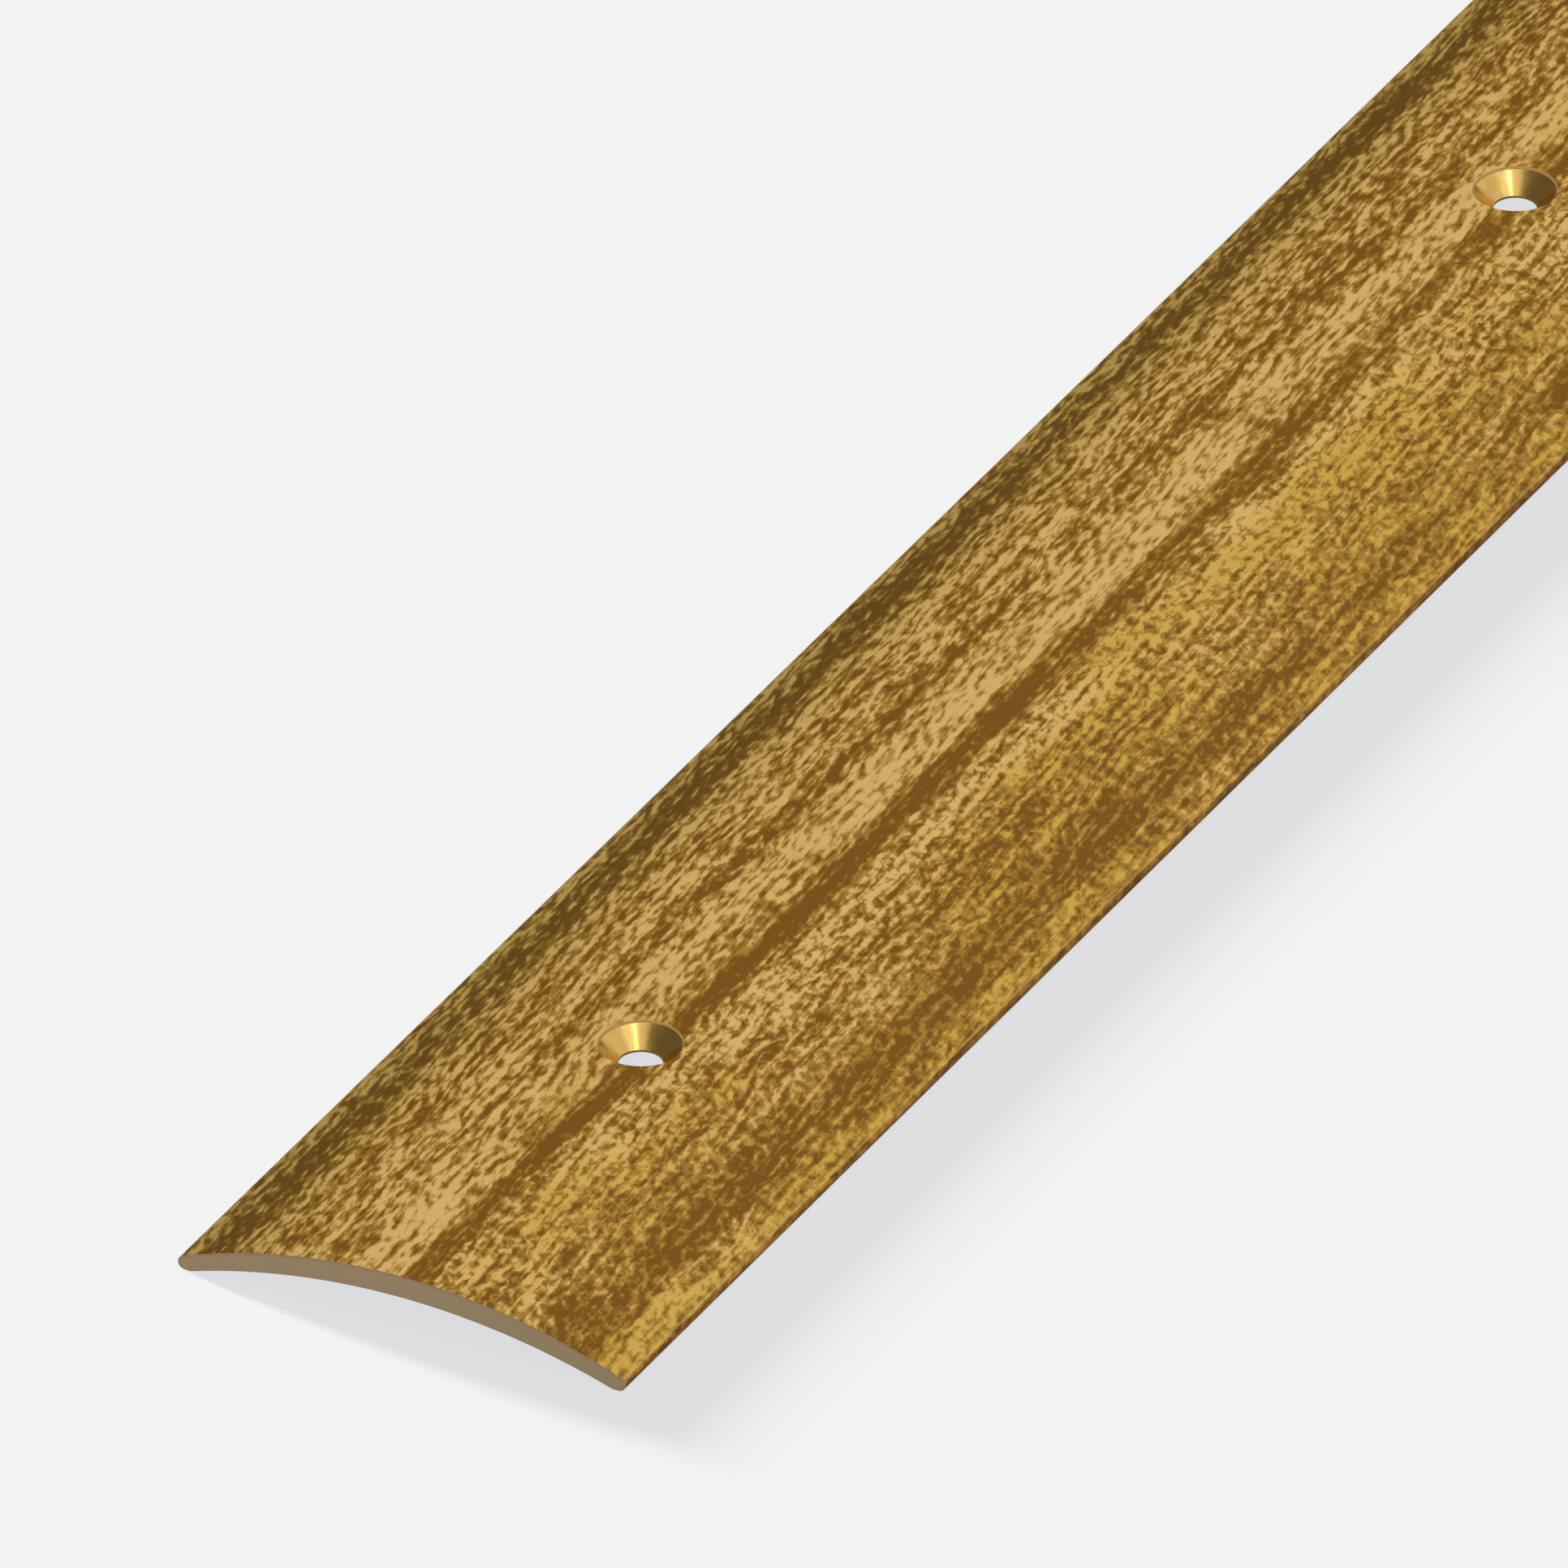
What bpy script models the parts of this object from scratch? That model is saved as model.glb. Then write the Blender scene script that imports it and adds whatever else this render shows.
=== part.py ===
"""Domed threshold strip: an extruded aluminium profile wrapped in a wood-decor foil.

The strip covers the joint between two floor coverings. It stands on its two long feet and is
screwed down through a row of countersunk holes on its centre line.

Run it with: blender --background --python part.py
Metres, +Z up. X is across the strip and Y along it. The origin is the middle of the strip, on
the floor that its feet stand on.
"""

from math import atan2, cos, pi, radians, sin, tan

import bmesh
import bpy

COLLECTION = "threshold_strip"

# Overall size, foil included
STRIP_WIDTH = 0.0380
STRIP_HEIGHT = 0.0047
STRIP_LENGTH = 0.930

# Cross-section
CROWN_THICKNESS = 0.00185  # foil and metal together, on the centre line
EDGE_RADIUS = 0.0006  # the rounded nose along each long edge
FOOT_WIDTH = 0.0005  # the flat that stands on the floor, inward from the nose

# Decor foil
FOIL_THICKNESS = 0.00015
GLUE_LINE = 0.00005  # hot-melt between foil and metal, left as a gap
FOIL_WRAP = radians(60)  # how far below level the foil turns round the nose

# Screw holes
HOLE_COUNT = 7
END_MARGIN = 0.0380  # from each cut end to the centre of the first hole
HOLE_RADIUS = 0.0017
SINK_RADIUS = 0.00338  # the countersink's mouth, at the crown's height
SINK_ANGLE = radians(90)  # the countersink's included angle

# Facets
CROWN_STEPS = 12  # on each half of the crown, and of the arch under it
NOSE_STEPS = 4  # from the crown to the widest point, and again to the foil's edge
FOOT_STEPS = 2  # from the foil's edge to the floor
HOLE_STEPS = 36

CUT_CLEARANCE = 0.001  # how far a cutter runs past the surfaces it cuts
WELD = 1e-6  # merging distance for the loose caps of an extruded curve
SMOOTH_ANGLE = radians(25)
UPRIGHT = pi / 2

# The nose is a circle that touches the floor's plane and the strip's widest point.
NOSE_CENTRE = (STRIP_WIDTH / 2 - EDGE_RADIUS, EDGE_RADIUS)

# The crown is a circle through the top that runs smoothly into both noses.
CROWN_RADIUS = (NOSE_CENTRE[0] ** 2 + (STRIP_HEIGHT - EDGE_RADIUS) ** 2 - EDGE_RADIUS**2) / (
    2 * (STRIP_HEIGHT - 2 * EDGE_RADIUS)
)
CROWN_CENTRE = (0, STRIP_HEIGHT - CROWN_RADIUS)
CROWN_END = atan2(NOSE_CENTRE[1] - CROWN_CENTRE[1], NOSE_CENTRE[0])

# The arch underneath is a circle through the inner edges of both feet.
HEEL_X = NOSE_CENTRE[0] - FOOT_WIDTH
ARCH_RISE = STRIP_HEIGHT - CROWN_THICKNESS
ARCH_RADIUS = (HEEL_X**2 + ARCH_RISE**2) / (2 * ARCH_RISE)
ARCH_CENTRE = (0, ARCH_RISE - ARCH_RADIUS)
ARCH_END = atan2(-ARCH_CENTRE[1], HEEL_X)

# The metal steps out to full size one glue line past the foil's cut edge.
METAL_INSET = FOIL_THICKNESS + GLUE_LINE
SHOULDER = -FOIL_WRAP - GLUE_LINE / (EDGE_RADIUS - FOIL_THICKNESS)


def arc(centre, radius, start, end, steps):
    """Points on a circle from one angle to another, both ends included."""
    turns = [start + (end - start) * step / steps for step in range(steps + 1)]
    return [(centre[0] + radius * cos(turn), centre[1] + radius * sin(turn)) for turn in turns]


def mirrored(path):
    """The left half that goes with a right half, run in the other direction."""
    return [(-x, z) for x, z in reversed(path)]


def wrapped_path(inset):
    """Right half of the face under the foil, from the crown to the foil's edge, set in by inset."""
    crown = arc(CROWN_CENTRE, CROWN_RADIUS - inset, UPRIGHT, CROWN_END, CROWN_STEPS)
    upper_nose = arc(NOSE_CENTRE, EDGE_RADIUS - inset, CROWN_END, 0, NOSE_STEPS)
    lower_nose = arc(NOSE_CENTRE, EDGE_RADIUS - inset, 0, -FOIL_WRAP, NOSE_STEPS)
    return crown + upper_nose[1:] + lower_nose[1:]


def bare_path():
    """Right half of the metal that the foil leaves bare: the shoulder, the foot and the arch."""
    step_in = arc(NOSE_CENTRE, EDGE_RADIUS - METAL_INSET, SHOULDER, SHOULDER, 1)[:1]
    foot = arc(NOSE_CENTRE, EDGE_RADIUS, SHOULDER, -UPRIGHT, FOOT_STEPS)
    arch = arc(ARCH_CENTRE, ARCH_RADIUS, ARCH_END, UPRIGHT, CROWN_STEPS)
    return step_in + foot + arch


def metal_outline():
    """The aluminium's cross-section: set in under the foil, full size at its feet."""
    half = wrapped_path(METAL_INSET) + bare_path()
    return half + mirrored(half)[1:-1]


def foil_outline():
    """The foil's cross-section: one thin band over the crown and round both noses."""
    outer = wrapped_path(0)
    inner = wrapped_path(FOIL_THICKNESS)
    return mirrored(outer) + outer[1:] + inner[::-1] + mirrored(inner)[-2::-1]


def hole_positions():
    """Each screw hole's place along the strip, evenly spaced between the end margins."""
    reach = STRIP_LENGTH / 2 - END_MARGIN
    pitch = 2 * reach / (HOLE_COUNT - 1)
    return [pitch * index - reach for index in range(HOLE_COUNT)]


def clear_scene():
    """Removes whatever the scene starts with."""
    for thing in list(bpy.data.objects):
        bpy.data.objects.remove(thing, do_unlink=True)


def new_collection(name):
    """A named collection in the scene."""
    group = bpy.data.collections.new(name)
    bpy.context.scene.collection.children.link(group)
    return group


def finish(name, colour, roughness, metallic):
    """A plain material in one colour."""
    made = bpy.data.materials.new(name)
    made.use_nodes = True
    shader = made.node_tree.nodes["Principled BSDF"]
    shader.inputs["Base Color"].default_value = (*colour, 1)
    shader.inputs["Roughness"].default_value = roughness
    shader.inputs["Metallic"].default_value = metallic
    return made


def extruded_curve(name, outline, group):
    """An outline as a filled 2D curve, stood upright and drawn out along the strip."""
    data = bpy.data.curves.new(name, "CURVE")
    data.dimensions = "2D"
    data.fill_mode = "BOTH"
    data.extrude = STRIP_LENGTH / 2
    spline = data.splines.new("POLY")
    spline.points.add(len(outline) - 1)
    for point, (x, z) in zip(spline.points, outline):
        point.co = (x, z, 0, 1)
    spline.use_cyclic_u = True
    section = bpy.data.objects.new(name, data)
    section.rotation_euler = (UPRIGHT, 0, 0)
    group.objects.link(section)
    return section


def as_solid(section, group):
    """The extruded curve made one closed mesh object, so that it can be drilled."""
    bpy.context.view_layer.update()
    graph = bpy.context.evaluated_depsgraph_get()
    mesh = bpy.data.meshes.new_from_object(section.evaluated_get(graph))
    body = bmesh.new()
    body.from_mesh(mesh)
    bmesh.ops.remove_doubles(body, verts=body.verts, dist=WELD)
    body.to_mesh(mesh)
    body.free()
    name = section.name
    place = section.matrix_world.copy()
    bpy.data.objects.remove(section, do_unlink=True)
    solid = bpy.data.objects.new(name, mesh)
    solid.matrix_world = place
    group.objects.link(solid)
    return solid


def hole_cutter(name, y, group):
    """The shape of one screw hole: a straight hole below a cone, turned about its axis."""
    slope = tan(SINK_ANGLE / 2)
    profile = [
        (0, STRIP_HEIGHT + CUT_CLEARANCE),
        (SINK_RADIUS + CUT_CLEARANCE * slope, STRIP_HEIGHT + CUT_CLEARANCE),
        (HOLE_RADIUS, STRIP_HEIGHT - (SINK_RADIUS - HOLE_RADIUS) / slope),
        (HOLE_RADIUS, -CUT_CLEARANCE),
        (0, -CUT_CLEARANCE),
    ]
    mesh = bpy.data.meshes.new(name)
    edges = [(index, index + 1) for index in range(len(profile) - 1)]
    mesh.from_pydata([(x, 0, z) for x, z in profile], edges, [])
    cutter = bpy.data.objects.new(name, mesh)
    cutter.location = (0, y, 0)
    cutter.hide_render = True
    cutter.display_type = "WIRE"
    turn = cutter.modifiers.new("turn", "SCREW")
    turn.steps = HOLE_STEPS
    turn.render_steps = HOLE_STEPS
    turn.use_merge_vertices = True
    turn.merge_threshold = 1e-5
    group.objects.link(cutter)
    return cutter


def add_layer(name, outline, look, parts, cutters):
    """One full-length layer of the strip, drilled with every screw hole."""
    solid = as_solid(extruded_curve(name, outline, parts), parts)
    drill = solid.modifiers.new("screw_holes", "BOOLEAN")
    drill.operation = "DIFFERENCE"
    drill.operand_type = "COLLECTION"
    drill.collection = cutters
    drill.solver = "EXACT"
    solid.data.materials.append(look)
    solid.data.shade_smooth()
    solid.data.set_sharp_from_angle(angle=SMOOTH_ANGLE)
    return solid


def main():
    """Builds the strip: the cutters first, then the metal and the foil that they drill."""
    clear_scene()
    parts = new_collection(COLLECTION)
    cutters = new_collection("cutters")
    for index, y in enumerate(hole_positions(), start=1):
        hole_cutter(f"hole_cutter_{index}", y, cutters)
    gold = finish("gold_anodised_aluminium", (0.53, 0.36, 0.13), roughness=0.35, metallic=1)
    wood = finish("wood_decor_foil", (0.38, 0.22, 0.05), roughness=0.45, metallic=0)
    add_layer("aluminium_profile", metal_outline(), gold, parts, cutters)
    add_layer("decor_foil", foil_outline(), wood, parts, cutters)


main()
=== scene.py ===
"""Looks for a domed threshold strip: a gold anodised extrusion wrapped in a wood-decor foil.

Both layers are modelled again at their real sizes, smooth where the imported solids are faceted,
and drilled with the same screw holes. Lengths are metres, apart from the finishes' patterns,
which are in millimetres. The wood print is laid out on the foil unrolled flat.
"""

import logging
import math
from dataclasses import dataclass
from enum import Enum, IntEnum
from typing import Iterable

import bmesh
import bpy
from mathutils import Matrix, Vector


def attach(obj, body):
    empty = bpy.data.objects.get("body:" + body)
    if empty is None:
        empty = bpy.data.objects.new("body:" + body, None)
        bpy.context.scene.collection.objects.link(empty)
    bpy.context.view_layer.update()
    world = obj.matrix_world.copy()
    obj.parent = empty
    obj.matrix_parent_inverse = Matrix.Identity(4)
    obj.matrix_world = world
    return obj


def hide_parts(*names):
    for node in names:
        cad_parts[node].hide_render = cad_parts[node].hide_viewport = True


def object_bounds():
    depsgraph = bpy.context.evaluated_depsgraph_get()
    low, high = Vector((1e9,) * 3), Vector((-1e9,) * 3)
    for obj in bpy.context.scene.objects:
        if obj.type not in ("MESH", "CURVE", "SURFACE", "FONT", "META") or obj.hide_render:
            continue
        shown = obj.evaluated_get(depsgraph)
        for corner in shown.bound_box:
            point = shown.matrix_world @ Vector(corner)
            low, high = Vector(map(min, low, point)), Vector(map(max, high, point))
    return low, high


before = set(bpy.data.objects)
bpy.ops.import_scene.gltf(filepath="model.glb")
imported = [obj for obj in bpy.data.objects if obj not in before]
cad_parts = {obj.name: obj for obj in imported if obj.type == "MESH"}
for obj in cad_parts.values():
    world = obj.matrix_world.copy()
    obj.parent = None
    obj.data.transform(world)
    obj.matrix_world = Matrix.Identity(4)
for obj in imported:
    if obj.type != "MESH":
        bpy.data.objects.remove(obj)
packed_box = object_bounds()

LOG = logging.getLogger("threshold_strip")
BODY = "root"
MM = 0.001
ACROSS = Vector((1, 0, 0))
ALONG = Vector((0, 1, 0))
UPWARD = Vector((0, 0, 1))
UNROLLED_MAP = "unrolled"  # millimetres across and along the foil, laid flat
SHEET_MAP = "OFBake"  # the foil cut into lengths and laid side by side on one sheet
WELD = 1e-7  # merging distance for points that are the same
SLIVER = 1e-6  # merging distance for what a cut leaves beside an edge
QUARTER = math.pi / 2
HALF = 0.5  # a face whose normal has more than this of a direction looks that way
IN_SECTION = Vector((1, 0, 1))  # times a vector, what the cross-section shows of it

Colour = tuple[float, float, float]
Span = tuple[float, float]


class Slot(IntEnum):
    """Which of a layer's three finishes a face takes."""

    FACE = 0
    BORE = 1
    CUT = 2


class Blend(Enum):
    """How a Mix node puts its second colour on the first."""

    COVER = "MIX"
    TINT = "MULTIPLY"


def from_screen(red: int, green: int, blue: int) -> Colour:
    """A colour named by its 0 to 255 screen values, as the linear values that shaders take.

    Args:
        red, green, blue: The screen values.

    Returns:
        The linear colour.
    """
    def linear(value: int) -> float:
        """One channel's linear value."""
        share = value / 255
        return share / 12.92 if share <= 0.04045 else ((share + 0.055) / 1.055) ** 2.4

    return linear(red), linear(green), linear(blue)


# shader graphs


class Socket:
    """A number, colour or vector inside a shader graph, usable in Python arithmetic.

    An expression on sockets adds the Math nodes that work it out. Colours don't go through it:
    they have Graph.mix.
    """

    def __init__(self, graph: "Graph", output: bpy.types.NodeSocket) -> None:
        """Wraps one output of a node in a graph."""
        self.graph = graph
        self.output = output

    def math(
        self, operation: str, *others: "Socket | float", first: "Socket | float | None" = None
    ) -> "Socket":
        """The result of a Math node, whose first input is this socket unless first is given."""
        inputs = (self if first is None else first, *others)
        return self.graph.node("ShaderNodeMath", {"operation": operation}, dict(enumerate(inputs)))

    def __add__(self, other: "Socket | float") -> "Socket":
        """This socket plus another."""
        return self.math("ADD", other)

    def __sub__(self, other: "Socket | float") -> "Socket":
        """This socket minus another."""
        return self.math("SUBTRACT", other)

    def __rsub__(self, other: float) -> "Socket":
        """A number minus this socket."""
        return self.math("SUBTRACT", self, first=other)

    def __mul__(self, other: "Socket | float") -> "Socket":
        """This socket times another."""
        return self.math("MULTIPLY", other)

    def __truediv__(self, other: "Socket | float") -> "Socket":
        """This socket divided by another."""
        return self.math("DIVIDE", other)

    def __neg__(self) -> "Socket":
        """This socket with its sign turned."""
        return self.math("MULTIPLY", -1.0)

    __radd__ = __add__

    def rising(self, low: float, high: float) -> "Socket":
        """A smooth step from 0 at one value to 1 at another.

        Args:
            low: Where the step starts.
            high: Where it ends, which may be the lower of the two.

        Returns:
            The step, between 0 and 1.
        """
        settings = {"interpolation_type": "SMOOTHSTEP", "clamp": True}
        inputs = {"Value": self, "From Min": low, "From Max": high}
        return self.graph.node("ShaderNodeMapRange", settings, inputs)

    def hump(self, centre: "Socket | float", width: float) -> "Socket":
        """A bell curve with a height of 1, about a third of which is left at its width."""
        reach = (self - centre) / width
        return self.math("EXPONENT", first=-(reach * reach))


class Graph:
    """The nodes of one material or world, built from the sockets back."""

    def __init__(self, tree: bpy.types.NodeTree) -> None:
        """Starts an empty graph in a node tree, whose own nodes are removed."""
        self.tree = tree
        tree.nodes.clear()

    def node(
        self,
        kind: str,
        settings: dict[str, object] | None = None,
        inputs: dict[str | int, object] | None = None,
        output: str | int = 0,
    ) -> Socket:
        """Adds any node.

        Args:
            kind: The node's type name.
            settings: Its properties, set before its inputs.
            inputs: Values or sockets by input name or number.
            output: The wanted output's name or number.

        Returns:
            That output.
        """
        made = self.tree.nodes.new(kind)
        for name, value in (settings or {}).items():
            setattr(made, name, value)
        for name, value in (inputs or {}).items():
            self._feed(made.inputs[name], value)
        return Socket(self, made.outputs[output])

    def _feed(self, into: bpy.types.NodeSocket, value: object) -> None:
        """Links a socket to an input, or sets the input's own value.

        Args:
            into: The input.
            value: The socket to link, or the number or colour to set.
        """
        if isinstance(value, Socket):
            self.tree.links.new(value.output, into)
        elif isinstance(value, tuple) and len(value) == 3 and into.type == "RGBA":
            into.default_value = (*value, 1.0)
        else:
            into.default_value = value

    def parts(self, vector: Socket) -> tuple[Socket, Socket, Socket]:
        """Takes a vector apart.

        Args:
            vector: The vector.

        Returns:
            Its three numbers.
        """
        first = self.node("ShaderNodeSeparateXYZ", {}, {"Vector": vector})
        outputs = first.output.node.outputs
        return first, Socket(self, outputs["Y"]), Socket(self, outputs["Z"])

    def place(self) -> tuple[Socket, Socket, Socket]:
        """Where a point is on its object, in millimetres."""
        x, y, z = self.parts(self.node("ShaderNodeTexCoord", output="Object"))
        return x / MM, y / MM, z / MM

    def unrolled(self) -> tuple[Socket, Socket]:
        """Where a point is on the foil laid flat: millimetres across and along."""
        across, along, _ = self.parts(self.node("ShaderNodeUVMap", {"uv_map": UNROLLED_MAP}))
        return across, along

    def mix(
        self, share: Socket | float, start: Socket | Colour, end: Socket | Colour,
        blend: Blend = Blend.COVER,
    ) -> Socket:
        """A colour between two others: the second goes on the first by a share."""
        settings = {"data_type": "RGBA", "blend_type": blend.value, "clamp_factor": True}
        return self.node("ShaderNodeMix", settings, {0: share, 6: start, 7: end}, output=2)

    def grey(self, level: Socket) -> Socket:
        """A grey of a varying level, to tint a colour with."""
        inputs = {"Red": level, "Green": level, "Blue": level}
        return self.node("ShaderNodeCombineColor", {}, inputs)

    def bump(self, height: Socket, depth: float, strength: float) -> Socket:
        """A normal tilted by a height, one unit of which is so many metres deep."""
        inputs = {"Strength": strength, "Distance": depth, "Height": height}
        return self.node("ShaderNodeBump", {}, inputs)

    def surface(self, **inputs: object) -> None:
        """Ends a material's graph in a Principled BSDF.

        Args:
            inputs: Values or sockets by input name, with underscores for spaces.
        """
        named = {name.replace("_", " "): value for name, value in inputs.items()}
        shader = self.node("ShaderNodeBsdfPrincipled", {}, named)
        self.node_output("ShaderNodeOutputMaterial", shader)

    def node_output(self, kind: str, shader: Socket) -> None:
        """Links a shader to the graph's output node, which has no outputs of its own."""
        made = self.tree.nodes.new(kind)
        self.tree.links.new(shader.output, made.inputs["Surface"])


# finishes


class Finish:
    """A surface finish that can make its own material."""

    name = "finish"

    def material(self) -> bpy.types.Material:
        """Makes the material.

        Returns:
            A new material with this finish's nodes.
        """
        made = bpy.data.materials.new(self.name)
        made.use_nodes = True
        self.draw(Graph(made.node_tree))
        return made

    def draw(self, graph: Graph) -> None:
        """Fills the material's graph."""
        raise NotImplementedError


@dataclass(frozen=True)
class Variation:
    """A smooth random change over a surface, around 0. Lengths are millimetres.

    Attributes:
        first, second: The size of its largest lumps, each way that it is drawn.
        seed: Picks one among many.
        strength: How far it mostly goes to each side of 0.
        detail: How many finer layers are added.
        roughness: How strong they are.
    """

    first: float
    second: float
    seed: float
    strength: float = 1.0
    detail: float = 2.0
    roughness: float = 0.5

    def draw(self, graph: Graph, x: Socket, y: Socket | float = 0.0) -> Socket:
        """Reads the change at a point.

        Args:
            graph: The graph to draw in.
            x, y: The point, in the two ways that it is drawn.

        Returns:
            The change there.
        """
        place = {"X": x / self.first, "Y": y / self.second, "Z": self.seed}
        inputs = {
            "Vector": graph.node("ShaderNodeCombineXYZ", {}, place),
            "Scale": 1.0, "Detail": self.detail, "Roughness": self.roughness,
        }
        raw = graph.node("ShaderNodeTexNoise", {"noise_dimensions": "3D"}, inputs)
        return (raw - 0.5) * (4.0 * self.strength)


@dataclass(frozen=True)
class GrainBand:
    """One streak that runs along the strip: in the wood print, or painted shade. Lengths are
    millimetres.

    Attributes:
        place: Its centre line, across the foil from the crown.
        width: Its half width.
        depth: How dark it is; a negative one is a pale streak.
        seed: Picks how it wanders and breaks up.
        wander: How far it strays to each side.
        fading: How much of it comes and goes along the strip.
        bend, stretch: The length of one stray, and of one coming and going.
    """

    place: float
    width: float
    depth: float
    seed: float
    wander: float
    fading: float
    bend: float = 70.0
    stretch: float = 32.0

    def draw(self, graph: Graph, across: Socket, along: Socket) -> Socket:
        """This streak's share of the darkness.

        Args:
            graph: The graph to draw in.
            across, along: The point on the foil, in millimetres.

        Returns:
            The streak's strength there.
        """
        stray = Variation(self.bend, 1, self.seed, self.wander, detail=1.0)
        change = Variation(self.stretch, 1, self.seed + 0.5, self.fading, detail=1.0)
        band = across.hump(stray.draw(graph, along) + self.place, self.width)
        return band * (change.draw(graph, along) + 1) * self.depth


@dataclass(frozen=True)
class GrainPatch:
    """A place in the wood print that is darker, paler or more golden. Lengths are millimetres.

    Attributes:
        place: Its middle, across the foil from the crown.
        along: Its middle, from the near end.
        width, length: Its reach to each side, across and along.
        depth: How much darker it is; a negative one is paler.
        gold: How much more golden it is.
    """

    place: float
    along: float
    width: float
    length: float
    depth: float
    gold: float = 0.0

    def cover(self, across: Socket, along: Socket) -> Socket:
        """The patch's share at a point, 1 in its middle."""
        return across.hump(self.place, self.width) * along.hump(self.along, self.length)


@dataclass(frozen=True)
class Fleck:
    """One kind of pore fleck in the wood print. Lengths are millimetres.

    Attributes:
        spread: Where the flecks fall, drawn across and along.
        lean: How far a fleck strays across for each millimetre along.
        winding: How it winds, drawn along and across.
    """

    spread: Variation
    lean: float
    winding: Variation | None = None

    def draw(self, graph: Graph, across: Socket, along: Socket) -> Socket:
        """The flecks' share of the darkness.

        Args:
            graph: The graph to draw in.
            across, along: The point on the foil, in millimetres.

        Returns:
            Their strength there, around 0.
        """
        leaning = across + along * self.lean
        if self.winding:
            leaning = leaning + self.winding.draw(graph, along, across)
        return self.spread.draw(graph, leaning, along)


BANDS = (
    GrainBand(place=-18.2, width=0.6, depth=-0.10, seed=0.4, wander=0.3, fading=0.5),
    GrainBand(place=-15.8, width=1.5, depth=0.52, seed=1.3, wander=0.5, fading=0.35),
    GrainBand(place=-10.3, width=0.9, depth=0.12, seed=2.1, wander=0.8, fading=1.0),
    GrainBand(place=-6.1, width=0.8, depth=0.42, seed=3.7, wander=0.7, fading=0.9),
    GrainBand(place=-2.5, width=1.7, depth=-0.25, seed=4.2, wander=0.4, fading=0.4),
    GrainBand(place=1.55, width=1.05, depth=0.62, seed=5.9, wander=0.45, fading=0.4),
    GrainBand(place=4.9, width=1.3, depth=-0.10, seed=6.1, wander=0.6, fading=0.6),
    GrainBand(place=9.4, width=1.6, depth=0.04, seed=6.4, wander=1.2, fading=1.6),
    GrainBand(place=15.6, width=1.9, depth=0.40, seed=7.6, wander=0.8, fading=0.35),
    GrainBand(place=18.1, width=0.8, depth=-0.04, seed=8.8, wander=0.3, fading=0.4),
    # painted shade: this narrow dark streak lies on the right nose, past the fold, for the shade
    # on its sideways face
    GrainBand(place=19.9, width=0.6, depth=0.2, seed=9.5, wander=0.1, fading=0.3),
)

PATCHES = (
    GrainPatch(place=0.6, along=2, width=0.7, length=24, depth=0.45),
    GrainPatch(place=3.3, along=4, width=1.5, length=12, depth=0.18),
    GrainPatch(place=2.4, along=20, width=1.1, length=14, depth=-0.25),
    GrainPatch(place=-6.2, along=2, width=1.0, length=18, depth=-0.4),
    GrainPatch(place=17.4, along=12, width=1.4, length=12, depth=-0.2),
    GrainPatch(place=11.5, along=8, width=1.6, length=12, depth=0.22),
    GrainPatch(place=14.2, along=22, width=1.5, length=24, depth=0.12),
    GrainPatch(place=-7.0, along=36, width=1.4, length=12, depth=-0.3),
    GrainPatch(place=-9.0, along=60, width=1.2, length=60, depth=-0.1),
    GrainPatch(place=9.5, along=82, width=3.6, length=30, depth=0.16, gold=0.9),
    GrainPatch(place=-11.3, along=100, width=1.3, length=24, depth=-0.2),
    GrainPatch(place=-0.6, along=112, width=0.9, length=22, depth=-0.3),
    GrainPatch(place=6.8, along=122, width=1.5, length=28, depth=-0.22),
    GrainPatch(place=14.5, along=132, width=1.0, length=32, depth=-0.35),
    GrainPatch(place=-14.6, along=140, width=1.2, length=20, depth=-0.3),
    GrainPatch(place=-10.6, along=148, width=1.1, length=18, depth=-0.25),
    GrainPatch(place=-7.6, along=162, width=1.2, length=12, depth=0.25),
    GrainPatch(place=1.9, along=168, width=1.1, length=20, depth=-0.3),
)


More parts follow.
